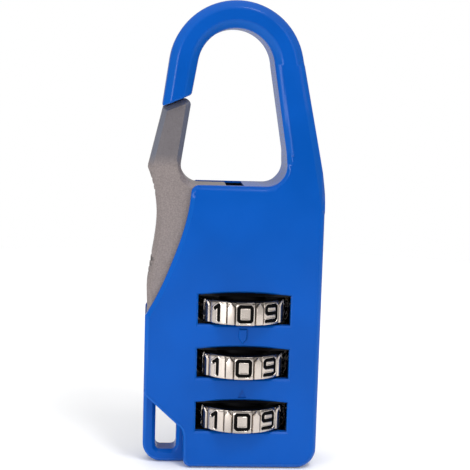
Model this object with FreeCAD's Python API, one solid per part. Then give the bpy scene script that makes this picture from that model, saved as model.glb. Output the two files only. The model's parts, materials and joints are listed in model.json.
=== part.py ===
"""A carabiner padlock with three number dials.

X runs across the lock, Y from its front face to its back, Z up. The origin is on the ground under
the middle of the lock. Lengths are millimetres and angles are degrees.
"""
import FreeCAD, Part
import math
import os

Vector = FreeCAD.Vector
ACROSS = Vector(1, 0, 0)
DEEP = Vector(0, 1, 0)
UP = Vector(0, 0, 1)

# ---- driving dimensions ----
LENGTH = 70.0            # bottom face to the hook's crown
SIDE = 13.2              # half of the case's width
FACE = 5.0               # front and back faces stand at -FACE and +FACE
SKIN = 1.2               # thickness of the front wall and of the back cover
WALL = 1.6               # side walls
FACE_BEVEL = 0.6
CASE_TOP = 43.0
INSIDE = FACE - SKIN     # the cavity runs from -INSIDE to +INSIDE

HOOK_BEVEL = 1.1
CROWN_R = 9.9
CROWN = (-0.5, LENGTH - CROWN_R, CROWN_R)   # x, z and radius of the hook's outer arc
BIGHT = (-0.58, 60.3, 5.65)   # x, z and radius of the hook's inner arc
RIGHT_LEAN, LEFT_LEAN, INNER_LEAN = 11.9, 7.8, 9.55   # how far the legs lean out
CUT_LOW, CUT_HIGH = 54.37, 56.17   # ends of the hook's slanted cut, which meets the gate's tip

ROOT_LOW, ROOT_TOP = 40.8, 48.0   # the outer edge's bevel widens between these heights
CORNER_TOP = (7.35, 46.0)         # where the round inner corner runs into the hook's leg

GATE_HALF = 3.65
GATE_BEVEL = 0.7
TIP_R = 0.8
PIVOT = (-9.8, 25.1)
PIVOT_R = 1.0
PIN_SEAT = 0.6                # how deep the pivot pin sits in each wall
KNUCKLE_R = 2.3
NOSE = (0.2, 39.6, 1.0)       # x, z and radius of the rounded end of the gate's heel

SHAFT_X = 1.63
SHAFT_R = 1.5
SHAFT_HEAD_R = 2.0
HEAD_TALL = 2.1
NOSE_GAP = 0.05
SHAFT_TOP = NOSE[1] - NOSE[2] - NOSE_GAP

DIAL_R = 7.1
DIAL_TALL = 3.55
DIAL_PITCH = 8.22
DIAL_LOW = 7.77               # height of the lowest dial's middle
DIAL_BEVEL = 0.25
DIGITS = 10
DIALS = (1, 2, 3)             # from the top down
GROOVE = 0.25                 # depth of the V between two digits
STROKE, DIGIT_WIDE, DIGIT_TALL, DIGIT_DEEP = 0.48, 2.35, 2.7, 0.25

SLEEVE_R = 3.6
SLEEVE_BORE = 2.75
SLEEVE_GAP = 0.1
SLEEVE_BELOW = 3.3            # how far a sleeve reaches below its dial's middle
KEY_R = 4.6                   # corner radius of the sleeve's ten-sided collar
KEY_TALL = 3.0
KEY_GAP = 0.12
LIP = 0.9                     # thickness of the notched lip, and height of a lug
LIP_ABOVE = 0.65              # the lip's underside above the dial's middle
LUG_GAP = 0.3
LUG_R, LUG_WIDE = 2.55, 1.1

WINDOW_WIDE, WINDOW_TALL, WINDOW_ARCH = 13.9, 4.9, 0.35
WINDOW_RAISE = 0.4            # the window's middle above the dial's middle
WINDOW_BEVEL = 0.28
WEB_THICK = 4.0
WEB_LEFT, WEB_RIGHT = -5.1, 9.0
SLOT_GAP = 0.15
MARK_HALF, MARK_TALL, MARK_DEEP = 0.62, 2.3, 0.25   # the setting marks on the front face
BUSH_R = 2.6
BUSH_LOW, BUSH_TOP = 29.4, 31.2

RESET_R, RESET_FLANGE_R, RESET_STEM_R = 1.1, 2.0, 0.8
RESET_RECESS = 0.3
END_LOW, END_TOP = 3.5, 4.4

SCREWS = ((9.7, 36.4), (-9.7, 16.2), (9.9, 3.4))
SCREW_R, SCREW_HEAD_R, BOSS_R = 0.8, 1.5, 1.6
SCREW_SINK, SCREW_END = 0.15, 0.6   # head below the back face, tip short of the front wall
LEAF_X = 9.35
LEAF_THICK = 0.25
LEAF_WIDE = 3.0
LEAF_REACH = 2.7              # how far the leaf runs past the outer dials' middles
LEAF_NOSE_R = 0.55

LOOP_HALF = 2.0
LOOP_BAR = 1.9
EPS = 1.0                     # how far a cutter runs past what it cuts


# ---- helpers ----
def outline(start, *steps):
    """A closed face in the X-Z plane: one point is a line, two an arc, more a smooth curve."""
    edges, here = [], start
    for step in steps:
        points = [Vector(x, 0, z) for x, z in [here, *step]]
        if len(points) == 2:
            edges.append(Part.makeLine(*points))
        elif len(points) == 3:
            edges.append(Part.Arc(*points).toShape())
        else:
            curve = Part.BSplineCurve()
            curve.interpolate(points)
            edges.append(curve.toShape())
        here = step[-1]
    return Part.Face(Part.Wire(edges))


def slab(face, low, high):
    """The face pushed through from y = low to y = high."""
    return face.translated(Vector(0, low, 0)).extrude(Vector(0, high - low, 0))


def on_arc(arc, degrees):
    x, z, r = arc
    turn = math.radians(degrees)
    return (x + r * math.cos(turn), z + r * math.sin(turn))


def rod(x, z, radius, low, high):
    """A round bar along Y."""
    return Part.makeCylinder(radius, high - low, Vector(x, low, z), DEEP)


def post(radius, low, high, x=SHAFT_X):
    """A round bar along Z on the dials' axis."""
    return Part.makeCylinder(radius, high - low, Vector(x, 0, low), UP)


def box(x, y, z):
    """A box from three (low, high) pairs."""
    size = [high - low for low, high in (x, y, z)]
    return Part.makeBox(*size, Vector(x[0], y[0], z[0]))


def coil(foot, axis, radius, wire, length, turns):
    """A round-wire spring that starts at foot and climbs along axis."""
    helix = Part.makeHelix(length / turns, length, radius)
    start = Vector(radius, 0, 0)
    ring = Part.Wire(Part.makeCircle(wire, start, DEEP))
    spring = Part.Wire(helix.Edges).makePipeShell([ring], True, True)
    spring.Placement = FreeCAD.Placement(foot, FreeCAD.Rotation(UP, axis))
    return spring


def bevel(shape, size, wanted):
    """Chamfer the edges that wanted picks."""
    return shape.makeChamfer(size, [edge for edge in shape.Edges if wanted(edge)])


def rim_at(level):
    """Picks the edges that lie wholly at y = level."""
    return lambda edge: all(abs(v.Y - level) < 1e-4 for v in edge.Vertexes)


def ten_sided(radius, low, high):
    """A ten-sided bar on the dials' axis."""
    turns = [math.radians(36 * n + 18) for n in range(DIGITS + 1)]
    corners = [Vector(SHAFT_X + radius * math.cos(t), radius * math.sin(t), low) for t in turns]
    return Part.Face(Part.makePolygon(corners)).extrude(Vector(0, 0, high - low))


def dial_height(number):
    """The middle of a dial."""
    return DIAL_LOW + (3 - number) * DIAL_PITCH


# ---- outlines ----
def leg_point(arc, degrees, z):
    """Where a leg that leaves the arc at that angle comes down to height z."""
    x0, z0 = on_arc(arc, degrees)
    lean = math.radians(degrees if degrees < 90 else 180 - degrees)
    side = 1 if degrees < 90 else -1
    return (x0 + side * (z0 - z) * math.tan(lean), z)


def body_face():
    """The case's face: hook left out, gate cut away along its curved edge."""
    return outline(
        (-5.6, CASE_TOP),
        [(4.35, CASE_TOP)],
        [(6.47, 43.88), CORNER_TOP],
        [leg_point(BIGHT, INNER_LEAN, ROOT_TOP)],
        [leg_point(CROWN, RIGHT_LEAN, ROOT_TOP)],
        [leg_point(CROWN, RIGHT_LEAN, 45.1)],
        [(12.97, 43.6), (13.13, 42.2), (SIDE, ROOT_LOW)],
        [(SIDE, 3.0)],
        [(12.32, 0.88), (10.2, 0)],
        [(-5.7, 0)],
        [(-6.66, 0.4), (-7.05, 1.35)],
        [(-7.15, 4.9)],
        [(-7.42, 5.8), (-8.0, 6.55)],
        [(-12.95, 11.1)],
        [(-13.13, 11.35), (-SIDE, 11.7)],
        [(-SIDE, 23.3)],
        [(-11.47, 26.4), (-9.28, 31.6), (-7.62, 36.6), (-6.72, 41.8)],
        [(-6.42, 42.62), (-5.6, CASE_TOP)],
    )


def cavity_face():
    return outline(
        (-5.6, WALL), [(11.6, WALL)], [(11.6, 40.4)], [(10.1, 41.9)], [(1.05, 41.9)],
        [(1.05, CASE_TOP + EPS)], [(-SIDE - EPS, CASE_TOP + EPS)], [(-SIDE - EPS, 23.3)],
        [(-11.8, 23.3)], [(-11.8, 12.2)], [(-6.9, 7.7)], [(-5.6, 5.9)], [(-5.6, WALL)],
    )


def hook_face():
    """The bent bar of the hook, from its cut end round to its root in the case."""
    left, inner_left = 180 - LEFT_LEAN, 180 - INNER_LEAN
    return outline(
        leg_point(CROWN, left, CUT_LOW),
        [on_arc(CROWN, left)],
        [on_arc(CROWN, 90), on_arc(CROWN, RIGHT_LEAN)],
        [leg_point(CROWN, RIGHT_LEAN, ROOT_TOP - 1)],
        [(SIDE - WALL, ROOT_LOW)],
        [(CORNER_TOP[0], ROOT_LOW)],
        [leg_point(BIGHT, INNER_LEAN, CORNER_TOP[1])],
        [on_arc(BIGHT, INNER_LEAN)],
        [on_arc(BIGHT, 90), on_arc(BIGHT, inner_left)],
        [leg_point(BIGHT, inner_left, CUT_HIGH)],
        [leg_point(CROWN, left, CUT_LOW)],
    )


def root_tapers(face):
    """Wedges cut off one face's edges, so that the case's bevel widens into the hook's."""
    outer, inner = leg_point(CROWN, RIGHT_LEAN, ROOT_TOP), leg_point(BIGHT, INNER_LEAN, ROOT_TOP)
    start = [low + (high - low) / 4 for low, high in zip(CORNER_TOP, inner)]
    return [
        taper(outer, (SIDE, ROOT_LOW - 1), face, 1, RIGHT_LEAN),
        taper(inner, start, face, -1, INNER_LEAN),
    ]


def taper(top, low, face, across, lean):
    """A wedge over an edge: HOOK_BEVEL wide at its top point and FACE_BEVEL at its low one."""
    side = 1 if face > 0 else -1
    along = Vector(across / math.cos(math.radians(lean)), -side, 0)
    corners = []
    for share in (1.1, -0.1):
        x, z = [first + share * (last - first) for first, last in zip(low, top)]
        width = FACE_BEVEL + share * (HOOK_BEVEL - FACE_BEVEL)
        start = Vector(x - width * along.x, face, z)
        ends = [start - along, start + along * (width + EPS)]
        corners += ends if share > 0 else ends[::-1]
    outward = Vector(along.x, -along.y, 0)
    return Part.Face(Part.makePolygon([*corners, corners[0]])).extrude(outward * 2)


def window(height, low, high):
    """The opening for one dial, with its upper edge arched."""
    left, right = SHAFT_X - WINDOW_WIDE / 2, SHAFT_X + WINDOW_WIDE / 2
    middle = height + WINDOW_RAISE
    floor, top = middle - WINDOW_TALL / 2, middle + WINDOW_TALL / 2
    face = outline(
        (left, floor), [(right, floor)], [(right, top - WINDOW_ARCH)],
        [(SHAFT_X, top), (left, top - WINDOW_ARCH)], [(left, floor)],
    )
    return slab(face, low, high)


def window_rim(level):
    """Picks the edges of the windows in the face at y = level."""
    reach, top = WINDOW_WIDE / 2 + 0.01, dial_height(1) + WINDOW_TALL

    def wanted(edge):
        middle = edge.valueAt((edge.FirstParameter + edge.LastParameter) / 2)
        near_dial = min(abs(middle.z - dial_height(number) - WINDOW_RAISE) for number in DIALS)
        on_window = near_dial < WINDOW_TALL / 2 + 0.01 and middle.z < top
        return rim_at(level)(edge) and on_window and all(abs(v.X - SHAFT_X) < reach for v in edge.Vertexes)

    return wanted


# ---- case ----
def loop_plate():
    """The lanyard loop, thinner than the case, in its cut-away corner."""
    corner = 2.9
    plate = outline(
        (-SIDE, 12.5), [(-4.5, 12.5)], [(-4.5, 0)], [(-SIDE + corner, 0)],
        [on_arc((-SIDE + corner, corner, corner), 225), (-SIDE, corner)], [(-SIDE, 12.5)],
    )
    left, right, low = -SIDE + LOOP_BAR, -8.1, LOOP_BAR
    hole = outline(
        (left, 9.6), [(right, 6.3)], [(right, low + 0.8)],
        [on_arc((right - 0.8, low + 0.8, 0.8), -45), (right - 0.8, low)],
        [(left + 0.8, low)],
        [on_arc((left + 0.8, low + 0.8, 0.8), 225), (left, low + 0.8)], [(left, 9.6)],
    )
    plate = slab(plate, -LOOP_HALF, LOOP_HALF)
    plate = plate.cut(slab(hole, -FACE, FACE))
    faces = (rim_at(-LOOP_HALF), rim_at(LOOP_HALF))
    return bevel(plate, 0.5, lambda edge: any(face(edge) for face in faces))


def hook():
    bar = slab(hook_face(), -FACE, FACE)
    faces = (rim_at(-FACE), rim_at(FACE))

    def long_edge(edge):
        middle = edge.valueAt((edge.FirstParameter + edge.LastParameter) / 2)
        return any(face(edge) for face in faces) and middle.z > 41 and not is_cut_end(edge)

    def is_cut_end(edge):
        return all(v.Z < 57 and v.X < -6 for v in edge.Vertexes)

    return bevel(bar, HOOK_BEVEL, long_edge)


def webs():
    """Shelves between the dials; each is slotted from the back for the sleeves."""
    over_low = dial_height(1) + (DIAL_PITCH - WEB_THICK) / 2
    shelves = [shelf(over_low, BUSH_LOW, SLEEVE_R + SLOT_GAP), shelf(BUSH_LOW, BUSH_TOP, BUSH_R)]
    for number in (1, 2):
        middle = dial_height(number) - DIAL_PITCH / 2
        shelves.append(shelf(middle - WEB_THICK / 2, middle + WEB_THICK / 2, SLEEVE_R + SLOT_GAP))
    shelves.append(shelf(END_LOW, END_TOP, BUSH_R, left=-5.6, right=8.4))
    return shelves


def shelf(low, high, slot_r, left=WEB_LEFT, right=WEB_RIGHT):
    return box((left, right), (-INSIDE, INSIDE), (low, high)).cut(slot_for(slot_r))


def slot_for(radius):
    """A U-shaped slot through every shelf, open at the back."""
    straight = box((SHAFT_X - radius, SHAFT_X + radius), (0, INSIDE + EPS), (0, CASE_TOP))
    return post(radius, 0, CASE_TOP).fuse(straight)


def bosses():
    return [rod(x, z, BOSS_R, -INSIDE, INSIDE) for x, z in SCREWS]


def raised_mark():
    """The moulded setting mark under the top dial: a short bar with a pointed foot."""
    middle, x = (dial_height(1) + dial_height(2)) / 2 + WINDOW_RAISE, SHAFT_X - 0.15
    face = outline(
        (x - MARK_HALF, middle + MARK_TALL / 2), [(x + MARK_HALF, middle + MARK_TALL / 2)],
        [(x + MARK_HALF, middle - 0.4)], [(x, middle - MARK_TALL / 2)], [(x - MARK_HALF, middle - 0.4)],
        [(x - MARK_HALF, middle + MARK_TALL / 2)],
    )
    mark = slab(face, -FACE - MARK_DEEP, -FACE + EPS)
    return bevel(mark, 0.15, rim_at(-FACE - MARK_DEEP))


def sunk_mark():
    """The engraved setting triangle over the lowest dial."""
    low = dial_height(3) + WINDOW_RAISE + WINDOW_TALL / 2 + 0.4
    face = outline((SHAFT_X - MARK_HALF, low), [(SHAFT_X + MARK_HALF, low)], [(SHAFT_X, low + 1.3)],
                   [(SHAFT_X - MARK_HALF, low)])
    return slab(face, -FACE - EPS, -FACE + MARK_DEEP)


def front_case():
    shell = slab(body_face(), -FACE, INSIDE)
    shell = bevel(shell, FACE_BEVEL, rim_at(-FACE)).cut(root_tapers(-FACE))
    root = hook().fuse(loop_plate())
    root = root.cut(slab(body_face(), INSIDE, FACE + EPS))
    shell = shell.fuse(root).cut(slab(cavity_face(), -INSIDE, FACE + EPS))
    shell = shell.fuse([*webs(), *bosses(), *leaf_posts(), raised_mark()]).cut(sunk_mark())
    windows = [window(dial_height(number), -FACE - EPS, -INSIDE + 0.01) for number in DIALS]
    shell = bevel(shell.cut(windows), WINDOW_BEVEL, window_rim(-FACE))
    holes = [rod(x, z, SCREW_R, -INSIDE + SCREW_END, FACE) for x, z in SCREWS]
    holes.append(rod(*PIVOT, PIVOT_R, -INSIDE - PIN_SEAT, -INSIDE + EPS))
    holes.append(post(RESET_R + 0.05, -EPS, WALL + EPS))
    holes += [bar_across(0.4, LEAF_X, LEAF_X + LEAF_THICK + 1.4, z) for z in leaf_ends()]
    return shell.cut(holes).removeSplitter()


def back_cover():
    plate = slab(body_face(), INSIDE, FACE)
    plate = bevel(plate, FACE_BEVEL, rim_at(FACE)).cut(root_tapers(FACE))
    windows = [window(dial_height(number), INSIDE - EPS, FACE + EPS) for number in DIALS]
    plate = bevel(plate.cut(windows), WINDOW_BEVEL, window_rim(FACE))
    cuts = [screw_shape(x, z) for x, z in SCREWS]
    cuts.append(rod(*PIVOT, PIVOT_R, 0, INSIDE + PIN_SEAT))
    return plate.cut(cuts)


def screw_shape(x, z):
    """A countersunk screw, seated just below the back face."""
    seat, taper_tall = FACE - SCREW_SINK, SCREW_HEAD_R - SCREW_R
    head = Part.makeCone(SCREW_R, SCREW_HEAD_R, taper_tall, Vector(x, seat - taper_tall, z), DEEP)
    shank = rod(x, z, SCREW_R, -INSIDE + SCREW_END, seat - 0.3)
    return shank.fuse([head, rod(x, z, SCREW_HEAD_R, seat, FACE + EPS)])


def cover_screws():
    screws = []
    for x, z in SCREWS:
        over = box((x - BOSS_R, x + BOSS_R), (FACE - SCREW_SINK, FACE + 2 * EPS), (z - BOSS_R, z + BOSS_R))
        screw = screw_shape(x, z).cut(over)
        cross = box((x - 0.85, x + 0.85), (FACE - 0.6, FACE), (z - 0.16, z + 0.16))
        turned = cross.copy()
        turned.rotate(Vector(x, 0, z), DEEP, 90)
        screws.append(screw.cut([cross, turned]))
    return Part.makeCompound(screws)


# ---- gate ----
def gate():
    nose_x, nose_z, nose_r = NOSE
    face = outline(
        (-11.13, 54.2),
        [(-6.88, 55.99)],
        [(-8.3, 46.4)],
        [(-7.62, 43.95), (-5.3, CASE_TOP - 0.1)],
        [(-1.5, CASE_TOP - 0.1)],
        [(-1.5, 41.2)],
        [(nose_x, nose_z + nose_r)],
        [(nose_x + nose_r, nose_z), (nose_x, nose_z - nose_r)],
        [(-0.9, nose_z - nose_r)],
        [(-4.5, 37.6), (-6.3, 33.6), (-7.3, 29.5), (PIVOT[0] + KNUCKLE_R, PIVOT[1])],
        [(PIVOT[0], PIVOT[1] - KNUCKLE_R), on_arc((*PIVOT, KNUCKLE_R), 230)],
        [(-12.9, 23.75)],
        [(-13.05, 27.6)],
        [(-12.35, 32.4), (-11.75, 38.2), (-12.13, 41.9), (-SIDE, 45.4)],
        [(-11.13, 54.2)],
    )
    blade = slab(face, -GATE_HALF, GATE_HALF)
    tip = [edge for edge in blade.Edges if all(v.Z > 55.9 for v in edge.Vertexes)]
    blade = blade.makeFillet(TIP_R, tip)
    faces = (rim_at(-GATE_HALF), rim_at(GATE_HALF))

    def outside(edge):
        middle = edge.valueAt((edge.FirstParameter + edge.LastParameter) / 2)
        return any(face(edge) for face in faces) and (middle.z > 43.5 or middle.x < -11.6)

    blade = bevel(blade, GATE_BEVEL, outside)
    flutes = [rod(x, z, 0.3, -FACE, FACE) for x, z in grip_points()]
    pocket = rod(*PIVOT, 2.0, -FACE, -1.7)
    return blade.cut(flutes + [rod(*PIVOT, PIVOT_R + 0.05, -FACE, FACE), pocket])


def grip_points():
    """Centres of the small flutes at both ends of the thumb grip."""
    upper = [(-12.78 + 0.3 * n, 43.6 - 0.9 * n) for n in range(3)]
    lower = [(-12.98 + 0.22 * n, 29.0 + 0.9 * n) for n in range(4)]
    return upper + lower


def gate_pivot_pin():
    pin = rod(*PIVOT, PIVOT_R, -INSIDE - PIN_SEAT, INSIDE + PIN_SEAT)
    return bevel(pin, 0.15, lambda edge: edge.Closed)


def gate_spring():
    foot = Vector(PIVOT[0], -3.3, PIVOT[1])
    return coil(foot, DEEP, 1.5, 0.22, 1.3, 2)


# ---- shaft ----
def lug_band(number):
    """Lowest and highest point of one lug with the gate closed."""
    low = dial_height(number) + LIP_ABOVE + LIP + LUG_GAP
    return low, low + LIP


def locking_shaft():
    foot = dial_height(3) - 0.75
    shaft = post(SHAFT_R, foot, SHAFT_TOP - HEAD_TALL)
    head = post(SHAFT_HEAD_R, SHAFT_TOP - HEAD_TALL, SHAFT_TOP)
    head = bevel(head, 0.25, lambda edge: edge.Closed)
    lugs = []
    for number in DIALS:
        side = (SHAFT_X, SHAFT_X + LUG_R)
        lugs.append(box(side, (-LUG_WIDE / 2, LUG_WIDE / 2), lug_band(number)))
    return shaft.fuse([head, *lugs]).removeSplitter()


def shaft_spring():
    low = BUSH_TOP + 0.45 + 0.25
    high = SHAFT_TOP - HEAD_TALL - 0.25
    return coil(Vector(SHAFT_X, 0, low), UP, SHAFT_R + 0.4, 0.2, high - low, 4)


def shaft_bush():
    body = post(BUSH_R, BUSH_LOW, BUSH_TOP).fuse(post(BUSH_R + 0.7, BUSH_TOP, BUSH_TOP + 0.4))
    return body.cut(post(SHAFT_R + 0.05, 0, CASE_TOP))


def end_bush():
    body = post(BUSH_R, END_LOW, END_TOP)
    return body.cut(post(RESET_STEM_R + 0.05, 0, CASE_TOP))


# ---- dials ----
SEGMENTS = ("abcdef", "bc", "abged", "abgcd", "fgbc", "afgcd", "afgcde", "abc", "abcdefg", "abcdfg")


def digit_strokes(digit):
    """The strokes of a squared digit as ((x low, x high), (z low, z high)) boxes about its middle."""
    wide, tall, half = DIGIT_WIDE / 2, DIGIT_TALL / 2, STROKE / 2
    places = {
        "a": ((-wide, wide), (tall - STROKE, tall)),
        "b": ((wide - STROKE, wide), (-half, tall)),
        "c": ((wide - STROKE, wide), (-tall, half)),
        "d": ((-wide, wide), (-tall, STROKE - tall)),
        "e": ((-wide, STROKE - wide), (-tall, half)),
        "f": ((-wide, STROKE - wide), (-half, tall)),
        "g": ((-wide, wide), (-half, half)),
    }
    if digit == 1:
        flag = ((-wide / 2, half), (tall - STROKE, tall))
        return [((-half, half), (-tall, tall)), flag]
    return [places[letter] for letter in SEGMENTS[digit]]


def dial(number):
    """A number wheel: ten engraved digits, V grooves between them, a ten-sided bore."""
    middle = dial_height(number)
    low, high = middle - DIAL_TALL / 2, middle + DIAL_TALL / 2
    wheel = bevel(post(DIAL_R, low, high), DIAL_BEVEL, lambda edge: edge.Closed)
    cuts = []
    for digit in range(DIGITS):
        turn = -36 * digit
        for x, z in digit_strokes(digit):
            stroke = box(
                (SHAFT_X + x[0], SHAFT_X + x[1]),
                (-DIAL_R - EPS, DIGIT_DEEP - DIAL_R),
                (middle + z[0], middle + z[1]),
            )
            stroke.rotate(Vector(SHAFT_X, 0, 0), UP, turn)
            cuts.append(stroke)
        corner = box((0, GROOVE * 2), (0, GROOVE * 2), (low - EPS, high + EPS))
        corner.rotate(Vector(0, 0, 0), UP, -135)
        corner.translate(Vector(SHAFT_X, GROOVE - DIAL_R, 0))
        corner.rotate(Vector(SHAFT_X, 0, 0), UP, turn + 18)
        cuts.append(corner)
    cuts.append(ten_sided(KEY_R + KEY_GAP, low - EPS, high + EPS))
    return wheel.cut(cuts)


def code_sleeve(number):
    """A notched sleeve keyed into its dial; its lip stops the shaft's lug off the code."""
    middle = dial_height(number)
    low = middle - SLEEVE_BELOW
    high = low + DIAL_PITCH - SLEEVE_GAP
    sleeve = post(SLEEVE_R, low, high)
    sleeve = sleeve.fuse(ten_sided(KEY_R, middle - KEY_TALL / 2, middle + KEY_TALL / 2))
    lip_low = middle + LIP_ABOVE
    hollow = [post(SLEEVE_BORE, low - EPS, lip_low), post(SLEEVE_BORE, lip_low + LIP, high + EPS)]
    notch = box(
        (SHAFT_X, SHAFT_X + SLEEVE_BORE), (-LUG_WIDE / 2 - 0.15, LUG_WIDE / 2 + 0.15), (low, high)
    )
    return sleeve.cut([*hollow, post(SHAFT_R + 0.12, low, high), notch])


# ---- detent ----
def leaf_ends():
    """Heights of the two rivets that hold the leaf."""
    return dial_height(3) - LEAF_REACH + 0.8, dial_height(1) + LEAF_REACH - 0.8


def leaf_posts():
    """Blocks on the case's right wall that the leaf is riveted to."""
    side = (LEAF_X + LEAF_THICK, SIDE - WALL + 0.1)
    return [box(side, (-1.5, 1.5), (z - 0.8, z + 0.8)) for z in leaf_ends()]


def detent_spring():
    """A leaf along the dials' right side with a nose for each dial's grooves."""
    low, high = dial_height(3) - LEAF_REACH, dial_height(1) + LEAF_REACH
    leaf = box((LEAF_X, LEAF_X + LEAF_THICK), (-LEAF_WIDE / 2, LEAF_WIDE / 2), (low, high))
    noses = []
    for number in DIALS:
        ball = Part.makeSphere(LEAF_NOSE_R, Vector(LEAF_X, 0, dial_height(number)))
        noses.append(ball.cut(box((LEAF_X + LEAF_THICK, LEAF_X + 2), (-1, 1), (0, CASE_TOP))))
    holes = [bar_across(0.4, LEAF_X - EPS, LEAF_X + EPS, z) for z in leaf_ends()]
    return leaf.fuse(noses).cut(holes)


def detent_rivets():
    rivets = []
    for z in leaf_ends():
        shank = bar_across(0.4, LEAF_X, LEAF_X + LEAF_THICK + 1.4, z)
        rivets.append(shank.fuse(bar_across(0.75, LEAF_X - 0.3, LEAF_X, z)))
    return Part.makeCompound(rivets)


def bar_across(radius, low, high, z):
    """A round bar along X, half way through the case."""
    return Part.makeCylinder(radius, high - low, Vector(low, 0, z), ACROSS)


# ---- reset pin ----
def reset_pin():
    flange_low = WALL + 0.02
    flange = post(RESET_FLANGE_R, flange_low, flange_low + 0.6)
    stem = post(RESET_STEM_R, flange_low, END_TOP - 0.5)
    tip = bevel(post(RESET_R, RESET_RECESS, flange_low), 0.15, lambda edge: edge.Closed)
    return tip.fuse([flange, stem]).removeSplitter()


def reset_spring():
    low = WALL + 0.62 + 0.18
    return coil(Vector(SHAFT_X, 0, low), UP, 1.35, 0.14, END_LOW - 0.18 - low, 2)


def build():
    shapes = {
        "front_case": front_case(),
        "back_cover": back_cover(),
        "cover_screws": cover_screws(),
        "gate": gate(),
        "gate_pivot_pin": gate_pivot_pin(),
        "gate_spring": gate_spring(),
        "locking_shaft": locking_shaft(),
        "shaft_spring": shaft_spring(),
        "shaft_bush": shaft_bush(),
        "end_bush": end_bush(),
        "detent_rivets": detent_rivets(),
        "detent_spring": detent_spring(),
        "reset_pin": reset_pin(),
        "reset_spring": reset_spring(),
    }
    for number in DIALS:
        shapes[f"dial_{number}"] = dial(number)
        shapes[f"code_sleeve_{number}"] = code_sleeve(number)
    return shapes


os.makedirs("parts", exist_ok=True)
for name, shape in build().items():
    shape.exportStep(f"parts/{name}.step")
    print(name, len(shape.Solids), shape.isValid(), round(shape.Volume, 1))
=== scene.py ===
"""A carabiner padlock with three number wheels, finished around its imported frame.

Lengths are metres in the frame's own axes: X across the lock, Y from front to back, Z up.
"""

import json
import math

import bmesh
import bpy
import numpy as np
from bpy.props import FloatProperty, FloatVectorProperty, IntProperty, PointerProperty
from bpy.types import Operator, Panel, PropertyGroup
from mathutils import Matrix, Vector


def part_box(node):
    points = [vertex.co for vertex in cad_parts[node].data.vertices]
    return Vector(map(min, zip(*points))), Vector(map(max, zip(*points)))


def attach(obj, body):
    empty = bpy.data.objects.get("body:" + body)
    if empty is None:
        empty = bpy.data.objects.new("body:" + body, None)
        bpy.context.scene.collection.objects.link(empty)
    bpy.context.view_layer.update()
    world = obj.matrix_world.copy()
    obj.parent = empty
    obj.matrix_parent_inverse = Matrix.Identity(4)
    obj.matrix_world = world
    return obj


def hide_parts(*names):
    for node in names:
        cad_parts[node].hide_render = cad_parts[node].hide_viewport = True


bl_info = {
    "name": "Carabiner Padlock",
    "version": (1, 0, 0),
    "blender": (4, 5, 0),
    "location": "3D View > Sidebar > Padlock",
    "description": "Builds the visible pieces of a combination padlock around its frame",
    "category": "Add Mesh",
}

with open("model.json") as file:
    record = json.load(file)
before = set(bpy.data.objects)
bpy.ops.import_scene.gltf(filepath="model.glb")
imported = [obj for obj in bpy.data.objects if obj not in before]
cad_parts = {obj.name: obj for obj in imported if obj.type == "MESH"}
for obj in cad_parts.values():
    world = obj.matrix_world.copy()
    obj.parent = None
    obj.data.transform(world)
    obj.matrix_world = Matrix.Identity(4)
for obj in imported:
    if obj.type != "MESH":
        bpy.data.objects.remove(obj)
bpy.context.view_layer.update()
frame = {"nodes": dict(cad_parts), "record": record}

MM = 0.001
WHEELS = (1, 2, 3)
DIGITS = 10
PITCH = 2 * math.pi / DIGITS


def middle_of(node):
    low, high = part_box(node)
    return (low + high) / 2


WHEEL_LOW, WHEEL_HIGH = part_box("dial_1")
WHEEL_RADIUS = (WHEEL_HIGH.y - WHEEL_LOW.y) / 2
WHEEL_TALL = WHEEL_HIGH.z - WHEEL_LOW.z
KEY_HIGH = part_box("code_sleeve_1")[1]
WHEEL_BORE = KEY_HIGH.y + 0.15 * MM
COVER_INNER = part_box("back_cover")[0].y
DIAL_X = middle_of("dial_1").x
DIALS_LOW, DIALS_TOP = 2 * MM, middle_of("dial_1").z + 4 * MM
DIALS_REACH = 7.5 * MM                  # half the width of the windows' surroundings
CASE_TOP = 43.0 * MM
HOOK_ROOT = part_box("back_cover")[1].z
LEG_LOW, LEG_HIGH = 39.0 * MM, HOOK_ROOT + 13 * MM   # the right leg keeps sharp edges between these
CREASE = 24                             # degrees; a flatter edge is shaded smooth
ARM_LOW = 45.4 * MM                     # the gate's grip turns into its arm from here up
WELD = 0.001 * MM


# ---- settings a user would change ----
class CaseSettings(PropertyGroup):
    edge_round: FloatProperty(name="Edge round", description="Width of the rounding on the casting's edges",
                              default=0.3 * MM, unit="LENGTH")
    paint: FloatVectorProperty(name="Paint", description="Colour of the blue paint", subtype="COLOR",
                               size=3, min=0, max=1, default=(0.0008, 0.065, 0.335))
    # edge_highlight is a painted highlight: a lighter blue put on the chamfers, strongest where they face
    # down
    edge_highlight: FloatVectorProperty(name="Edge paint", description="Colour of the thin paint on edges",
                                    subtype="COLOR", size=3, min=0, max=1, default=(0.004, 0.09, 0.40))
    # inside is near-black: the bare casting inside, darkened as painted shade of the deep cavity
    inside: FloatVectorProperty(name="Inside", description="Colour of the casting's inside", subtype="COLOR",
                                size=3, min=0, max=1, default=(0.004, 0.004, 0.005))
    peel: FloatProperty(name="Peel", description="Depth of the paint's orange peel",
                        default=0.004 * MM, unit="LENGTH")


class GateSettings(PropertyGroup):
    edge_round: FloatProperty(name="Edge round", description="Width of the rounding on the gate's edges",
                              default=0.14 * MM, unit="LENGTH")
    metal: FloatVectorProperty(name="Metal", description="Colour of the blasted zinc", subtype="COLOR",
                               size=3, min=0, max=1, default=(0.215, 0.183, 0.178))
    arm: FloatVectorProperty(name="Arm", description="Colour of the arm above the grip", subtype="COLOR",
                             size=3, min=0, max=1, default=(0.132, 0.120, 0.129))
    # chamfer_reflection is a painted reflection: a bluish lighter tint on the arm's chamfers
    chamfer_reflection: FloatVectorProperty(name="Chamfer", description="Colour of the arm's chamfers", subtype="COLOR",
                                 size=3, min=0, max=1, default=(0.13, 0.145, 0.19))
    grain: FloatProperty(name="Grain", description="Depth of the blasted grain",
                         default=0.03 * MM, unit="LENGTH")


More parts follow.
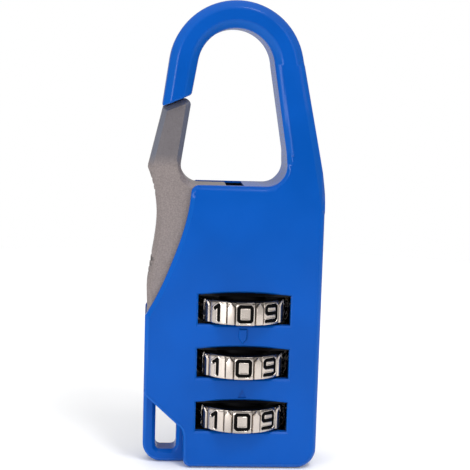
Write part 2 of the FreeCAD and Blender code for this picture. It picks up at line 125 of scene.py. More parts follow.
class WheelSettings(PropertyGroup):
    digit_width: FloatProperty(name="Digit width", description="Width of a digit",
                              default=2.5 * MM, unit="LENGTH")
    digit_height: FloatProperty(name="Digit height", description="Height of a digit",
                               default=2.75 * MM, unit="LENGTH")
    stroke: FloatProperty(name="Stroke", description="Width of a digit's strokes",
                         default=0.5 * MM, unit="LENGTH")
    engraving: FloatProperty(name="Engraving", description="Depth of the digits",
                            default=0.16 * MM, unit="LENGTH")
    columns: IntProperty(name="Columns", description="Mesh columns for each digit", default=72, min=12)
    rows: IntProperty(name="Rows", description="Mesh rows up the wheel", default=60, min=12)
    metal: FloatVectorProperty(name="Metal", description="Colour of the plated metal", subtype="COLOR",
                               size=3, min=0, max=1, default=(0.60, 0.535, 0.48))
    ink: FloatVectorProperty(name="Ink", description="Colour of the paint in the digits", subtype="COLOR",
                             size=3, min=0, max=1, default=(0.006, 0.006, 0.006))


class StageSettings(PropertyGroup):
    floor: FloatVectorProperty(name="Floor", description="Colour of the floor", subtype="COLOR",
                               size=3, min=0, max=1, default=(0.9, 0.9, 0.9))
    floor_radius: FloatProperty(name="Floor radius", description="Radius of the round white floor",
                                default=0.22, unit="LENGTH")
    distance: FloatProperty(name="Distance", description="Camera distance", default=182 * MM, unit="LENGTH")
    elevation: FloatProperty(name="Elevation", description="Camera height angle", subtype="ANGLE",
                             default=math.radians(7.8))
    azimuth: FloatProperty(name="Azimuth", description="Camera turn to the left", subtype="ANGLE",
                           default=math.radians(-4.0))
    roll: FloatProperty(name="Roll", description="Camera roll", subtype="ANGLE", default=math.radians(1.68))
    lens: FloatProperty(name="Lens", description="Focal length in millimetres", default=91.7)


# ---- meshes ----
def add_piece(name, mesh, body, material):
    piece = bpy.data.objects.new(name, mesh)
    bpy.context.scene.collection.objects.link(piece)
    mesh.materials.clear()
    mesh.materials.append(material)
    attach(piece, body)
    return piece


def evaluated(mesh, prepare):
    """The mesh after the modifiers that prepare puts on a passing object."""
    passing = bpy.data.objects.new("passing", mesh)
    bpy.context.scene.collection.objects.link(passing)
    prepare(passing)
    graph = bpy.context.evaluated_depsgraph_get()
    result = bpy.data.meshes.new_from_object(passing.evaluated_get(graph), depsgraph=graph)
    bpy.data.objects.remove(passing)
    return result


def smooth_up_to(mesh, degrees):
    """Smooth shading except across edges sharper than that."""
    mesh.polygons.foreach_set("use_smooth", [True] * len(mesh.polygons))
    mesh.set_sharp_from_angle(angle=math.radians(degrees))


def edge_weight(edge):
    """1 on outer edges to round, 0 inside, at the dials, on the right leg and along the gate's side."""
    if edge.calc_face_angle(0) < math.radians(CREASE):
        return 0.0
    first, last = (v.co for v in edge.verts)
    middle = (first + last) / 2
    on_leg = LEG_LOW < middle.z < LEG_HIGH and middle.x > 6 * MM
    outside = abs(middle.y) > COVER_INNER + 0.05 * MM or middle.z > CASE_TOP + 0.4 * MM
    near_dials = abs(middle.x - DIAL_X) < DIALS_REACH and DIALS_LOW < middle.z < DIALS_TOP
    beside_gate = middle.x <= -5 * MM and middle.z <= 49 * MM
    skipped = near_dials or on_leg or beside_gate or edge.calc_length() <= 0.05 * MM
    return 1.0 if outside and not skipped else 0.0


def merged_copy(node):
    """A CAD node's mesh with its triangles joined, its flat faces whole and its edges weighted."""
    work = bmesh.new()
    work.from_mesh(frame["nodes"][node].data)
    bmesh.ops.remove_doubles(work, verts=work.verts, dist=WELD)
    bmesh.ops.dissolve_limit(work, angle_limit=math.radians(0.5), verts=work.verts, edges=work.edges)
    for height in (LEG_LOW, LEG_HIGH) if node != "gate" else ():
        everything = [*work.verts, *work.edges, *work.faces]
        bmesh.ops.bisect_plane(work, geom=everything, dist=WELD, plane_co=(0, 0, height), plane_no=(0, 0, 1))
    weights = work.edges.layers.float.new("bevel_weight_edge")
    for edge in work.edges:
        edge[weights] = edge_weight(edge)
    mesh = bpy.data.meshes.new(node + "_soft")
    work.to_mesh(mesh)
    work.free()
    return mesh


def softened(node, width, clamp=False):
    """A CAD node with its edges rounded and its flat faces kept flat in the shading."""
    def round_edges(passing):
        edges = passing.modifiers.new("Edges", "BEVEL")
        edges.limit_method = "WEIGHT"
        edges.width = width
        edges.segments = 3
        edges.use_clamp_overlap = clamp

    def flatten(passing):
        normals = passing.modifiers.new("Normals", "WEIGHTED_NORMAL")
        normals.keep_sharp = True

    rounded = evaluated(merged_copy(node), round_edges)
    smooth_up_to(rounded, CREASE)
    return evaluated(rounded, flatten)


# ---- digits ----
def digit_lines(width, height, cut):
    """The centre lines of the ten squared digits, with cut corners."""
    w, h, c = width / 2, height / 2, cut
    ring = [(c - w, h), (w - c, h), (w, h - c), (w, c - h), (w - c, -h),
            (c - w, -h), (-w, c - h), (-w, h - c), (c - w, h)]
    lower_hook = [(w - c, 0), (w, -c), (w, c - h), (w - c, -h), (-w, -h)]
    return [
        [ring],
        [[(-0.55 * w, 0.55 * h), (0.15 * w, h), (0.15 * w, -h)]],
        [[(-w, h - c), (c - w, h), (w - c, h), (w, h - c), (w, c),
          (w - c, 0), (c - w, 0), (-w, -c), (-w, -h), (w, -h)]],
        [[(-w, h), (w - c, h), (w, h - c), (w, c), (w - c, 0), (-w / 2, 0)], lower_hook],
        [[(-w, h), (-w, 0), (w, 0)], [(w, h), (w, -h)]],
        [[(w, h), (-w, h), (-w, 0), (w - c, 0)], lower_hook],
        [[(w, h), (c - w, h), (-w, h - c), (-w, c - h), (c - w, -h),
          (w - c, -h), (w, c - h), (w, -c), (w - c, 0), (-w, 0)]],
        [[(-w, h), (w, h), (w, h - c), (0, -h)]],
        [ring, [(-w, 0), (w, 0)]],
        [[(-w, -h), (w - c, -h), (w, c - h), (w, h - c), (w - c, h),
          (c - w, h), (-w, h - c), (-w, c), (c - w, 0), (w, 0)]],
    ]


def distance_to(lines, x, z):
    """Distance from every point of the grids x and z to the nearest line."""
    nearest = np.full(np.broadcast(x, z).shape, 1.0)
    for line in lines:
        for (x0, z0), (x1, z1) in zip(line, line[1:]):
            run, rise = x1 - x0, z1 - z0
            along = np.clip(((x - x0) * run + (z - z0) * rise) / (run * run + rise * rise), 0, 1)
            nearest = np.minimum(nearest, np.hypot(x - x0 - along * run, z - z0 - along * rise))
    return nearest


def ease(value, low, high):
    """0 below low, 1 above high, smooth between."""
    share = np.clip((value - low) / (high - low), 0, 1)
    return share * share * (3 - 2 * share)


RIB_HALF = 0.6 * MM
PAD_SINK = 0.2 * MM
PAD_RADIUS = WHEEL_RADIUS - 0.2 * MM
RIM_ROUND = 0.22 * MM
RIM_STEPS = 5
FACE_SINK, FACE_REACH = 0.12 * MM, 1.1 * MM   # how deep the end face is sunk, and the rim's width
CORNER_CUT = 0.24 * MM                        # how far a digit's corners are cut
BORDER_RISE = 0.035 * MM                      # the burr round a digit's strokes
RIB_POINT = 0.75 * MM                         # how tall the rib's pointed end is


def wheel_mesh(number, settings):
    """A number wheel as one closed skin: bore, two faces, rounded rims and the engraved pads."""
    centre = middle_of(f"dial_{number}")
    half = WHEEL_TALL / 2
    heights = np.linspace(RIM_ROUND - half, half - RIM_ROUND, settings.rows)
    turns = [math.pi / 2 * step / RIM_STEPS for step in range(RIM_STEPS + 1)]
    rim = [(PAD_RADIUS - RIM_ROUND * (1 - math.sin(t)), RIM_ROUND * (1 - math.cos(t))) for t in turns[:-1]]
    step_in = PAD_RADIUS - FACE_REACH
    lower = [(WHEEL_BORE, FACE_SINK), (step_in - 0.1 * MM, FACE_SINK), (step_in, 0)] + rim
    profile = [(r, rise - half) for r, rise in lower]
    profile += [(PAD_RADIUS, z) for z in heights]
    profile += [(r, half - rise) for r, rise in reversed(lower)]
    count = settings.columns * DIGITS
    turn = np.arange(count) / count * 2 * math.pi - math.pi / 2 - PITCH / 2
    radius = np.tile(np.array([r for r, _ in profile])[:, None], (1, count))
    height = np.tile(np.array([z for _, z in profile])[:, None], (1, count))
    stroke = settings.stroke / 2
    wide, tall = settings.digit_width - settings.stroke, settings.digit_height - settings.stroke
    lines = digit_lines(wide, tall, CORNER_CUT)
    across = (np.arange(settings.columns) / settings.columns - 0.5) * PITCH * PAD_RADIUS
    band = slice(len(lower), len(lower) + settings.rows)
    skirt = slice(3, len(profile) - 3)
    for position in range(DIGITS):
        columns = slice(position * settings.columns, (position + 1) * settings.columns)
        gap = distance_to(lines[-position % DIGITS], across[None, :], heights[:, None])
        cut = settings.engraving * (1 - ease(gap, stroke - 0.05 * MM, stroke + 0.03 * MM))
        border = BORDER_RISE * np.exp(-((gap - stroke - 0.12 * MM) / (0.06 * MM)) ** 2)
        radius[band, columns] += border - cut
        edge = PITCH * PAD_RADIUS / 2 - RIB_HALF
        radius[skirt, columns] -= PAD_SINK * ease(np.abs(across), edge - 0.2 * MM, edge - 0.03 * MM)[None, :]
    points = np.stack([
        centre.x + radius * np.cos(turn), centre.y + radius * np.sin(turn), centre.z + height,
    ], axis=-1).reshape(-1, 3)
    rings = len(profile)
    ring, column = np.meshgrid(np.arange(rings), np.arange(count), indexing="ij")
    next_ring, next_column = (ring + 1) % rings, (column + 1) % count
    corners = [ring * count + column, ring * count + next_column,
               next_ring * count + next_column, next_ring * count + column]
    quads = np.stack(corners, axis=-1).reshape(-1, 4)
    mesh = bpy.data.meshes.new(f"wheel_{number}_drum")
    mesh.from_pydata(points.tolist(), [], quads.tolist())
    smooth_up_to(mesh, 50)
    return mesh


def rib_mesh():
    """One pointed rib, standing out along -Y at the wheel's radius."""
    half = WHEEL_TALL / 2 - 0.1 * MM
    shoulder = half - RIB_POINT
    corners = [(-RIB_HALF, -half), (RIB_HALF, -half), (RIB_HALF, shoulder), (0, half), (-RIB_HALF, shoulder)]
    work = bmesh.new()
    back = [work.verts.new((x, 0.35 * MM - WHEEL_RADIUS, z)) for x, z in corners]
    front = [work.verts.new((0.82 * x, 0.03 * MM - WHEEL_RADIUS, 0.97 * z)) for x, z in corners]
    work.faces.new(front)
    work.faces.new(back[::-1])
    for n in range(len(corners)):
        after = (n + 1) % len(corners)
        work.faces.new((back[n], back[after], front[after], front[n]))
    edges = [e for e in work.edges if any(v in front for v in e.verts)]
    bmesh.ops.bevel(work, geom=edges, offset=0.07 * MM, segments=3, profile=0.6, affect="EDGES")
    bmesh.ops.recalc_face_normals(work, faces=work.faces)
    mesh = bpy.data.meshes.new("rib")
    work.to_mesh(mesh)
    work.free()
    return mesh


# ---- node trees for pieces that repeat or coil ----
def new_tree(name, inputs):
    """A geometry tree with named inputs; returns it with its input and output nodes."""
    tree = bpy.data.node_groups.new(name, "GeometryNodeTree")
    tree.interface.new_socket("Geometry", in_out="INPUT", socket_type="NodeSocketGeometry")
    for label, kind in inputs:
        tree.interface.new_socket(label, in_out="INPUT", socket_type=kind)
    tree.interface.new_socket("Geometry", in_out="OUTPUT", socket_type="NodeSocketGeometry")
    return tree, tree.nodes.new("NodeGroupInput"), tree.nodes.new("NodeGroupOutput")


def close_tree(tree, source, given, out):
    """End the tree in Realize Instances and Set Material."""
    real = tree.nodes.new("GeometryNodeRealizeInstances")
    finish = tree.nodes.new("GeometryNodeSetMaterial")
    tree.links.new(source, real.inputs["Geometry"])
    tree.links.new(real.outputs["Geometry"], finish.inputs["Geometry"])
    tree.links.new(given.outputs["Material"], finish.inputs["Material"])
    tree.links.new(finish.outputs["Geometry"], out.inputs["Geometry"])
    return tree


def ring_tree():
    """Copies the piece it is given round a vertical axis and sets the ring at Centre."""
    tree, given, out = new_tree("ring_of_ribs", [
        ("Count", "NodeSocketInt"), ("Centre", "NodeSocketVector"), ("Material", "NodeSocketMaterial"),
    ])
    points = tree.nodes.new("GeometryNodePoints")
    tree.links.new(given.outputs["Count"], points.inputs["Count"])
    index = tree.nodes.new("GeometryNodeInputIndex")
    half = tree.nodes.new("ShaderNodeMath")
    half.operation = "ADD"
    half.inputs[1].default_value = 0.5
    share = tree.nodes.new("ShaderNodeMath")
    share.operation = "DIVIDE"
    turn = tree.nodes.new("ShaderNodeMath")
    turn.operation = "MULTIPLY"
    turn.inputs[1].default_value = 2 * math.pi
    spin = tree.nodes.new("ShaderNodeCombineXYZ")
    tree.links.new(index.outputs[0], half.inputs[0])
    tree.links.new(half.outputs[0], share.inputs[0])
    tree.links.new(given.outputs["Count"], share.inputs[1])
    tree.links.new(share.outputs[0], turn.inputs[0])
    tree.links.new(turn.outputs[0], spin.inputs["Z"])
    copies = tree.nodes.new("GeometryNodeInstanceOnPoints")
    tree.links.new(points.outputs[0], copies.inputs["Points"])
    tree.links.new(given.outputs["Geometry"], copies.inputs["Instance"])
    tree.links.new(spin.outputs[0], copies.inputs["Rotation"])
    place = tree.nodes.new("GeometryNodeTransform")
    tree.links.new(copies.outputs[0], place.inputs["Geometry"])
    tree.links.new(given.outputs["Centre"], place.inputs["Translation"])
    return close_tree(tree, place.outputs[0], given, out)


def coil_tree():
    """A round-wire spring between two heights, turned and set in place."""
    tree, given, out = new_tree("wire_coil", [
        ("Turns", "NodeSocketFloat"), ("Radius", "NodeSocketFloat"), ("Height", "NodeSocketFloat"),
        ("Wire", "NodeSocketFloat"), ("Foot", "NodeSocketVector"), ("Tilt", "NodeSocketVector"),
        ("Material", "NodeSocketMaterial"),
    ])
    spiral = tree.nodes.new("GeometryNodeCurveSpiral")
    spiral.inputs["Resolution"].default_value = 48
    tree.links.new(given.outputs["Turns"], spiral.inputs["Rotations"])
    tree.links.new(given.outputs["Radius"], spiral.inputs["Start Radius"])
    tree.links.new(given.outputs["Radius"], spiral.inputs["End Radius"])
    tree.links.new(given.outputs["Height"], spiral.inputs["Height"])
    ring = tree.nodes.new("GeometryNodeCurvePrimitiveCircle")
    ring.inputs["Resolution"].default_value = 12
    tree.links.new(given.outputs["Wire"], ring.inputs["Radius"])
    tube = tree.nodes.new("GeometryNodeCurveToMesh")
    tube.inputs["Fill Caps"].default_value = True
    tree.links.new(spiral.outputs[0], tube.inputs["Curve"])
    tree.links.new(ring.outputs["Curve"], tube.inputs["Profile Curve"])
    place = tree.nodes.new("GeometryNodeTransform")
    tree.links.new(tube.outputs[0], place.inputs["Geometry"])
    tree.links.new(given.outputs["Foot"], place.inputs["Translation"])
    tree.links.new(given.outputs["Tilt"], place.inputs["Rotation"])
    return close_tree(tree, place.outputs[0], given, out)


def grown(mesh, tree, values):
    """The mesh that a tree makes from it, with the tree's inputs set by name."""
    def prepare(passing):
        growth = passing.modifiers.new("Growth", "NODES")
        growth.node_group = tree
        for item in tree.interface.items_tree:
            if item.in_out == "INPUT" and item.name in values:
                growth[item.identifier] = values[item.name]

    return evaluated(mesh, prepare)


# ---- materials ----
def new_material(name):
    material = bpy.data.materials.new(name)
    material.use_nodes = True
    nodes = material.node_tree.nodes
    shader = nodes.get("Principled BSDF")
    return material, material.node_tree, shader


def node(tree, kind, **values):
    """A new node; values set its properties or, where it has none of that name, its inputs."""
    made = tree.nodes.new(kind)
    for label, value in values.items():
        if hasattr(made, label):
            setattr(made, label, value)
        else:
            made.inputs[label.replace("_", " ")].default_value = value
    return made


def grain_group():
    """Even surface grain: fine and broad noise, as a height and a patchy mask."""
    tree = bpy.data.node_groups.new("surface_grain", "ShaderNodeTree")
    for label in ("Scale", "Patch Scale"):
        tree.interface.new_socket(label, in_out="INPUT", socket_type="NodeSocketFloat")
    for label in ("Height", "Patches"):
        tree.interface.new_socket(label, in_out="OUTPUT", socket_type="NodeSocketFloat")
    given, out = tree.nodes.new("NodeGroupInput"), tree.nodes.new("NodeGroupOutput")
    place = tree.nodes.new("ShaderNodeTexCoord")
    fine = node(tree, "ShaderNodeTexNoise", Detail=3.0, Roughness=0.6)
    broad = node(tree, "ShaderNodeTexNoise", Detail=2.0, Roughness=0.5)
    for noise, scale in ((fine, "Scale"), (broad, "Patch Scale")):
        tree.links.new(place.outputs["Object"], noise.inputs["Vector"])
        tree.links.new(given.outputs[scale], noise.inputs["Scale"])
    tree.links.new(fine.outputs["Fac"], out.inputs["Height"])
    tree.links.new(broad.outputs["Fac"], out.inputs["Patches"])
    return tree


GRAIN = grain_group()


def add_grain(tree, scale, patch_scale):
    grain = tree.nodes.new("ShaderNodeGroup")
    grain.node_tree = GRAIN
    grain.inputs["Scale"].default_value = scale
    grain.inputs["Patch Scale"].default_value = patch_scale
    return grain


def add_bump(tree, shader, height, depth):
    """Feed the shader's normal from a height that runs from 0 to 1 over that depth."""
    bump = node(tree, "ShaderNodeBump", Distance=depth, Strength=1.0)
    tree.links.new(height, bump.inputs["Height"])
    tree.links.new(bump.outputs["Normal"], shader.inputs["Normal"])
    return bump


def mix_colours(tree, factor, first, second):
    """A colour between two others; each may be a value or a socket."""
    mix = node(tree, "ShaderNodeMix", data_type="RGBA")
    for socket, value in ((mix.inputs[6], first), (mix.inputs[7], second)):
        if isinstance(value, bpy.types.NodeSocket):
            tree.links.new(value, socket)
        else:
            socket.default_value = (*value, 1)
    tree.links.new(factor, mix.inputs[0])
    return mix.outputs[2]


def shade_of(colour, share):
    """A darker or lighter shade of a colour."""
    return [share * c for c in colour]


def remap(tree, value, low, high, to_low=0.0, to_high=1.0):
    ramp = node(tree, "ShaderNodeMapRange", clamp=True)
    for label, number in (("From Min", low), ("From Max", high), ("To Min", to_low), ("To Max", to_high)):
        ramp.inputs[label].default_value = number
    tree.links.new(value, ramp.inputs["Value"])
    return ramp.outputs["Result"]


def maths(tree, operation, first, second=0.0):
    made = node(tree, "ShaderNodeMath", operation=operation)
    for socket, value in zip(made.inputs, (first, second)):
        if isinstance(value, bpy.types.NodeSocket):
            tree.links.new(value, socket)
        else:
            socket.default_value = value
    return made.outputs[0]


def place_parts(tree):
    """The x, y and z of Object coordinates."""
    place = tree.nodes.new("ShaderNodeTexCoord")
    parts = tree.nodes.new("ShaderNodeSeparateXYZ")
    tree.links.new(place.outputs["Object"], parts.inputs[0])
    return parts.outputs


def edge_band(tree):
    """1 on chamfers between a front or back face and a side; also gives how far the normal points up."""
    place = tree.nodes.new("ShaderNodeTexCoord")
    parts = tree.nodes.new("ShaderNodeSeparateXYZ")
    tree.links.new(place.outputs["Normal"], parts.inputs[0])
    facing = maths(tree, "ABSOLUTE", parts.outputs["Y"])
    band = maths(tree, "MULTIPLY", remap(tree, facing, 0.97, 0.85), remap(tree, facing, 0.2, 0.5))
    return band, parts.outputs["Z"]


def shaded_inside(tree):
    """1 on the walls of the cavity, left unpainted and coloured near-black as painted shade; the cavity ends
    above the slanted corner of the loop.
    """
    x, y, z = place_parts(tree)
    low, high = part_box("front_case")
    wall, left_wall, loop_side, top = 1.58 * MM, 1.38 * MM, 7.45 * MM, 42.7 * MM
    foot = maths(tree, "GREATER_THAN", x, low.x + loop_side)
    slanted = maths(tree, "GREATER_THAN", maths(tree, "ADD", x, z), 0.2 * MM)
    upper = maths(tree, "MULTIPLY", maths(tree, "GREATER_THAN", x, low.x + left_wall), slanted)
    within = maths(tree, "MAXIMUM", foot, upper)
    limits = (("LESS_THAN", x, high.x - wall), ("GREATER_THAN", z, wall), ("LESS_THAN", z, top),
              ("LESS_THAN", maths(tree, "ABSOLUTE", y), COVER_INNER + 0.02 * MM))
    for test, value, limit in limits:
        within = maths(tree, "MULTIPLY", within, maths(tree, test, value, limit))
    return within


def blue_paint(settings):
    """Glossy paint over a casting, with a painted highlight on its lower edges; bare inside, and near-black
    there as painted shade.
    """
    material, tree, shader = new_material("blue_paint")
    grain = add_grain(tree, 1400, 90)
    tone = mix_colours(tree, remap(tree, grain.outputs["Patches"], 0.35, 0.65),
                       shade_of(settings.paint, 0.93), shade_of(settings.paint, 1.06))
    band, up = edge_band(tree)
    # Painted highlight: chamfers facing down are mixed towards the lighter edge colour
    highlit = maths(tree, "MULTIPLY", band, remap(tree, up, -0.3, 0.45, 1.0, 0.2))
    painted = mix_colours(tree, highlit, tone, settings.edge_highlight)
    # Painted shade: the cavity's bare walls are coloured near-black
    colour = mix_colours(tree, shaded_inside(tree), painted, settings.inside)
    tree.links.new(colour, shader.inputs["Base Color"])
    tree.links.new(remap(tree, grain.outputs["Patches"], 0.3, 0.7, 0.2, 0.27), shader.inputs["Roughness"])
    shader.inputs["Specular IOR Level"].default_value = 0.12
    add_bump(tree, shader, grain.outputs["Height"], settings.peel)
    return material


def satin_zinc(settings):
    """Blasted zinc: grainy warm grip, smoother and darker arm above it, with a bluish painted reflection on
    the arm's chamfers.
    """
    material, tree, shader = new_material("satin_zinc")
    grain = add_grain(tree, 4600, 1500)
    arm = remap(tree, place_parts(tree)["Z"], ARM_LOW, ARM_LOW + 2 * MM)
    speck = remap(tree, grain.outputs["Height"], 0.36, 0.66)
    rough_metal = mix_colours(tree, speck, shade_of(settings.metal, 0.82), shade_of(settings.metal, 1.14))
    arm_metal = mix_colours(tree, speck, shade_of(settings.arm, 0.92), shade_of(settings.arm, 1.08))
    band = edge_band(tree)[0]
    # Painted reflection: the arm's chamfers are tinted bluish and lighter
    arm_metal = mix_colours(tree, maths(tree, "MULTIPLY", band, 0.7), arm_metal, settings.chamfer_reflection)
    tree.links.new(mix_colours(tree, arm, rough_metal, arm_metal), shader.inputs["Base Color"])
    shader.inputs["Metallic"].default_value = 0.35
    tree.links.new(remap(tree, grain.outputs["Patches"], 0.3, 0.7, 0.42, 0.52), shader.inputs["Roughness"])
    height = maths(tree, "MULTIPLY", grain.outputs["Height"], remap(tree, arm, 0, 1, 1.0, 0.4))
    add_bump(tree, shader, height, settings.grain)
    return material


def wheel_metal(settings, number):
    """Bright plated metal with painted shade along the top of the pads and in the sunk strips beside the
    ribs; whatever lies below the pad's skin in a digit is black ink.
    """
    material, tree, shader = new_material(f"wheel_metal_{number}")
    grain = add_grain(tree, 1800, 260)
    x, y, z = place_parts(tree)
    centre = middle_of(f"dial_{number}")
    across = maths(tree, "SUBTRACT", x, centre.x)
    out = maths(tree, "SQRT", maths(tree, "ADD", maths(tree, "MULTIPLY", across, across),
                                    maths(tree, "MULTIPLY", y, y)))
    rise = maths(tree, "SUBTRACT", z, centre.z)
    height = maths(tree, "ABSOLUTE", rise)
    below = maths(tree, "LESS_THAN", out, PAD_RADIUS - 0.04 * MM)
    in_skin = maths(tree, "GREATER_THAN", out, PAD_RADIUS - 2 * settings.engraving)
    in_band = maths(tree, "LESS_THAN", height, settings.digit_height / 2 + 0.1 * MM)
    turn = maths(tree, "ARCTAN2", across, maths(tree, "MULTIPLY", y, -1.0))
    sector = maths(tree, "PINGPONG", turn, PITCH / 2)
    on_pad = maths(tree, "LESS_THAN", sector, PITCH / 2 - (RIB_HALF + 0.25 * MM) / PAD_RADIUS)
    in_digit = maths(tree, "MULTIPLY", in_skin, maths(tree, "MULTIPLY", in_band, on_pad))
    digits = maths(tree, "MULTIPLY", below, in_digit)
    # The flat end faces inside the rim are coloured as black as the digits' ink
    dark_end_face = maths(tree, "MULTIPLY", maths(tree, "GREATER_THAN", height, WHEEL_TALL / 2 - 0.13 * MM),
                     maths(tree, "LESS_THAN", out, PAD_RADIUS - 0.16 * MM))
    digits_and_dark_ends = maths(tree, "MAXIMUM", digits, dark_end_face)
    # Painted shade: the sunk strips beside the ribs and a band along the top of the pads are darkened
    groove_shade = maths(tree, "MULTIPLY", remap(tree, out, PAD_RADIUS - 0.03 * MM, PAD_RADIUS - 0.14 * MM),
                    maths(tree, "LESS_THAN", height, WHEEL_TALL / 2 - 0.3 * MM))
    brow_shade = maths(tree, "MULTIPLY", remap(tree, rise, WHEEL_TALL / 2 - 0.5 * MM, WHEEL_TALL / 2 - 0.25 * MM),
                 maths(tree, "LESS_THAN", out, PAD_RADIUS + 0.02 * MM))
    painted_shade = maths(tree, "MULTIPLY", maths(tree, "MAXIMUM", groove_shade, brow_shade),
                   remap(tree, grain.outputs["Patches"], 0.35, 0.65, 0.6, 0.95))
    tarnish = mix_colours(tree, remap(tree, grain.outputs["Patches"], 0.38, 0.7),
                          settings.metal, shade_of(settings.metal, 0.72))
    shaded_metal = mix_colours(tree, painted_shade, tarnish, shade_of(settings.metal, 0.12))
    tree.links.new(mix_colours(tree, digits_and_dark_ends, shaded_metal, settings.ink), shader.inputs["Base Color"])
    shader.inputs["Metallic"].default_value = 1.0
    smooth = remap(tree, grain.outputs["Patches"], 0.3, 0.7, 0.2, 0.32)
    roughness = maths(tree, "ADD", smooth, maths(tree, "MULTIPLY", digits_and_dark_ends, 0.25))
    tree.links.new(roughness, shader.inputs["Roughness"])
    add_bump(tree, shader, grain.outputs["Height"], 0.004 * MM)
    return material


def plain_metal(name, colour, roughness, depth):
    """Turned or drawn metal for the small inner parts."""
    material, tree, shader = new_material(name)
    grain = add_grain(tree, 2200, 400)
    patches = grain.outputs["Patches"]
    shade = mix_colours(tree, remap(tree, patches, 0.35, 0.7), colour, shade_of(colour, 0.7))
    tree.links.new(shade, shader.inputs["Base Color"])
    shader.inputs["Metallic"].default_value = 1.0
    tree.links.new(remap(tree, patches, 0.3, 0.7, roughness, roughness + 0.15), shader.inputs["Roughness"])
    add_bump(tree, shader, grain.outputs["Height"], depth)
    return material


def floor_finish(colour):
    material, tree, shader = new_material("pale_floor")
    grain = add_grain(tree, 300, 12)
    shade = mix_colours(tree, grain.outputs["Patches"], colour, shade_of(colour, 0.99))
    tree.links.new(shade, shader.inputs["Base Color"])
    shader.inputs["Roughness"].default_value = 0.8
    return material


# ---- operators ----
METALS = {   # colour, lowest roughness and depth of grain
    "pin_steel": ((0.56, 0.56, 0.57), 0.3, 0.003 * MM),
    "screw_steel": ((0.62, 0.63, 0.65), 0.28, 0.003 * MM),
    "bush_brass": ((0.70, 0.50, 0.22), 0.3, 0.003 * MM),
    # The near-black of dark_steel is partly blackened steel and partly painted shade: it keeps the sleeves
    # seen in the gap above the wheels dark
    "dark_steel": ((0.012, 0.012, 0.013), 0.55, 0.003 * MM),
    "spring_steel": ((0.40, 0.40, 0.42), 0.35, 0.002 * MM),
}
SPRINGS = {   # wire radius and turns
    "gate_spring": (0.22 * MM, 2.0),
    "shaft_spring": (0.2 * MM, 4.0),
    "reset_spring": (0.14 * MM, 2.0),
}
LAMPS = {   # place, size and power
    "key": ((-0.28, -0.30, 0.06), 0.16, 1.0),
    "top": ((0.12, -0.22, 0.45), 0.10, 0.8),
    "fill": ((0.30, -0.35, 0.20), 0.25, 0.5),
}
LAMP_AIM = Vector((0, 0, 35 * MM))
CAMERA_AIM = Vector((0.2 * MM, 0, 35.1 * MM))


class PADLOCK_OT_case(Operator):
    """Round the casting and its rear cover, and paint them."""
    bl_idname = "padlock.case"
    bl_label = "Case and cover"

    def execute(self, context):
        settings = context.scene.padlock_case
        paint = blue_paint(settings)
        for node_name, piece_name in (("front_case", "painted_case"), ("back_cover", "painted_cover")):
            mesh = softened(node_name, settings.edge_round)
            piece = add_piece(piece_name, mesh, "case", paint)
            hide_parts(node_name)
        return {"FINISHED"}


class PADLOCK_OT_gate(Operator):
    """Round the gate and give it its blasted finish."""
    bl_idname = "padlock.gate"
    bl_label = "Gate"

    def execute(self, context):
        settings = context.scene.padlock_gate
        mesh = softened("gate", settings.edge_round, clamp=True)
        piece = add_piece("blasted_gate", mesh, "gate", satin_zinc(settings))
        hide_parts("gate")
        return {"FINISHED"}


class PADLOCK_OT_wheels(Operator):
    """Make the three number wheels with their digits and ribs."""
    bl_idname = "padlock.wheels"
    bl_label = "Number wheels"

    def execute(self, context):
        settings = context.scene.padlock_wheels
        tree, rib = ring_tree(), rib_mesh()
        for number in WHEELS:
            body, metal = f"wheel_{number}", wheel_metal(settings, number)
            drum = add_piece(f"wheel_{number}_drum", wheel_mesh(number, settings), body, metal)
            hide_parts(f"dial_{number}")
            ring = grown(rib.copy(), tree, {
                "Count": DIGITS, "Centre": list(middle_of(f"dial_{number}")), "Material": metal,
            })
            smooth_up_to(ring, 40)
            add_piece(f"wheel_{number}_ribs", ring, body, metal)
        return {"FINISHED"}


class PADLOCK_OT_works(Operator):
    """Finish the shaft, sleeves, bushes, pins and screws, and wind the springs."""
    bl_idname = "padlock.works"
    bl_label = "Inner works"

    def execute(self, context):
        finishes = {name: plain_metal(name, *values) for name, values in METALS.items()}
        for part in frame["record"]["subparts"]:
            finish = finishes.get(part["material_slot"])
            if finish:
                shown = frame["nodes"][part["node"]]
                shown.data.materials.clear()
                shown.data.materials.append(finish)
        self.wind_springs(finishes["spring_steel"])
        return {"FINISHED"}

    def wind_springs(self, wire):
        tree = coil_tree()
        for name, (wire_radius, turns) in SPRINGS.items():
            low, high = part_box(name)
            lying = name == "gate_spring"
            middle = (low + high) / 2
            rise = (high.y - low.y if lying else high.z - low.z) - 2 * wire_radius
            foot = [middle.x, middle.y, low.z + wire_radius]
            if lying:
                foot = [middle.x, low.y + wire_radius, middle.z]
            mesh = grown(bpy.data.meshes.new(name), tree, {
                "Turns": turns, "Height": rise, "Wire": wire_radius, "Foot": foot,
                "Radius": (high.x - low.x) / 2 - wire_radius,
                "Tilt": [-math.pi / 2 if lying else 0, 0, 0], "Material": wire,
            })
            smooth_up_to(mesh, 60)
            piece = add_piece(name + "_wire", mesh, "case", wire)
            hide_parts(name)


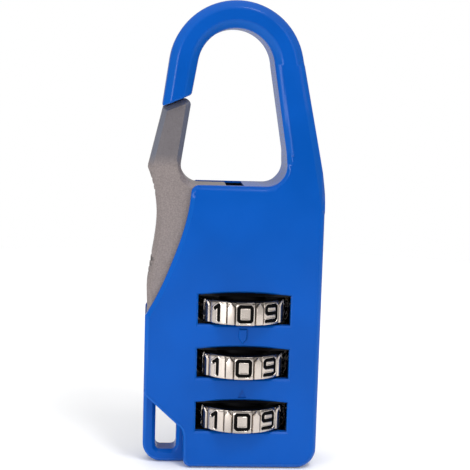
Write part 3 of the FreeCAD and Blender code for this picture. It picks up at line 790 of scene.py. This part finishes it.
class PADLOCK_OT_stage(Operator):
    """Set the floor, the soft lights and the camera."""
    bl_idname = "padlock.stage"
    bl_label = "Stage"

    def execute(self, context):
        settings = context.scene.padlock_stage
        self.lay_floor(settings)
        self.light(context.scene)
        self.aim_camera(context.scene, settings)
        return {"FINISHED"}

    def lay_floor(self, settings):
        work = bmesh.new()
        bmesh.ops.create_circle(work, cap_ends=True, radius=settings.floor_radius, segments=96)
        bmesh.ops.translate(work, verts=work.verts, vec=(0, 0, -0.1 * MM))
        mesh = bpy.data.meshes.new("floor")
        work.to_mesh(mesh)
        work.free()
        floor = bpy.data.objects.new("floor", mesh)
        bpy.context.scene.collection.objects.link(floor)
        mesh.materials.append(floor_finish(settings.floor))

    def light(self, scene):
        scene.view_settings.view_transform = "Standard"
        scene.world = self.studio_sky()
        for name, values in LAMPS.items():
            self.add_lamp(name, *values)

    def studio_sky(self):
        """White to look at; as a light, dim in front and bright overhead and behind."""
        world = bpy.data.worlds.new("studio")
        world.use_nodes = True
        tree = world.node_tree
        sky = tree.nodes["Background"]
        sky.inputs["Color"].default_value = (1, 1, 1, 1)
        place = tree.nodes.new("ShaderNodeTexCoord")
        parts = tree.nodes.new("ShaderNodeSeparateXYZ")
        tree.links.new(place.outputs["Generated"], parts.inputs[0])
        overhead = remap(tree, parts.outputs["Z"], 0.0, 1.0, 0.12, 1.4)
        behind = remap(tree, parts.outputs["Y"], 0.0, 0.6, 0.12, 0.6)
        path = tree.nodes.new("ShaderNodeLightPath")
        light = maths(tree, "MAXIMUM", overhead, behind)
        strength = maths(tree, "MAXIMUM", light, path.outputs["Is Camera Ray"])
        tree.links.new(strength, sky.inputs["Strength"])
        return world

    def add_lamp(self, name, place, size, power):
        lamp = bpy.data.lights.new(name, "AREA")
        lamp.size = size
        lamp.energy = power
        holder = bpy.data.objects.new(name, lamp)
        turn = (LAMP_AIM - Vector(place)).to_track_quat("-Z", "Y")
        holder.matrix_world = Matrix.Translation(place) @ turn.to_matrix().to_4x4()
        bpy.context.scene.collection.objects.link(holder)

    def aim_camera(self, scene, settings):
        turned, level = settings.azimuth, math.cos(settings.elevation)
        back = Vector((math.sin(turned) * level, -math.cos(turned) * level, math.sin(settings.elevation)))
        right = (-back).cross(Vector((0, 0, 1))).normalized()
        up = right.cross(-back)
        tilt, lean = math.cos(settings.roll), math.sin(settings.roll)
        across = tilt * right + lean * up
        upward = tilt * up - lean * right
        turn = Matrix((across, upward, back)).transposed().to_4x4()
        camera = bpy.data.cameras.new("camera")
        camera.lens = settings.lens
        camera.sensor_width = 36
        camera.clip_start = 0.01
        holder = bpy.data.objects.new("camera", camera)
        holder.matrix_world = Matrix.Translation(CAMERA_AIM + settings.distance * back) @ turn
        scene.collection.objects.link(holder)
        scene.camera = holder


class PADLOCK_PT_sidebar(Panel):
    """The padlock's settings and steps."""
    bl_label = "Padlock"
    bl_idname = "PADLOCK_PT_sidebar"
    bl_space_type = "VIEW_3D"
    bl_region_type = "UI"
    bl_category = "Padlock"

    def draw(self, context):
        for step in STEPS:
            self.layout.operator(step.bl_idname)
        for attribute, group in SETTINGS.items():
            box = self.layout.box()
            box.label(text=group.__name__)
            for name in group.__annotations__:
                box.prop(getattr(context.scene, attribute), name)


STEPS = (PADLOCK_OT_stage, PADLOCK_OT_case, PADLOCK_OT_gate, PADLOCK_OT_wheels, PADLOCK_OT_works)
SETTINGS = {
    "padlock_case": CaseSettings,
    "padlock_gate": GateSettings,
    "padlock_wheels": WheelSettings,
    "padlock_stage": StageSettings,
}
CLASSES = (*SETTINGS.values(), *STEPS, PADLOCK_PT_sidebar)


def register():
    for each in CLASSES:
        bpy.utils.register_class(each)
    for attribute, group in SETTINGS.items():
        setattr(bpy.types.Scene, attribute, PointerProperty(type=group))


def unregister():
    for attribute in SETTINGS:
        delattr(bpy.types.Scene, attribute)
    for each in reversed(CLASSES):
        bpy.utils.unregister_class(each)


def main():
    register()
    bpy.ops.padlock.stage()
    bpy.ops.padlock.case()
    bpy.ops.padlock.gate()
    bpy.ops.padlock.wheels()
    bpy.ops.padlock.works()


if __name__ == "__main__":
    main()
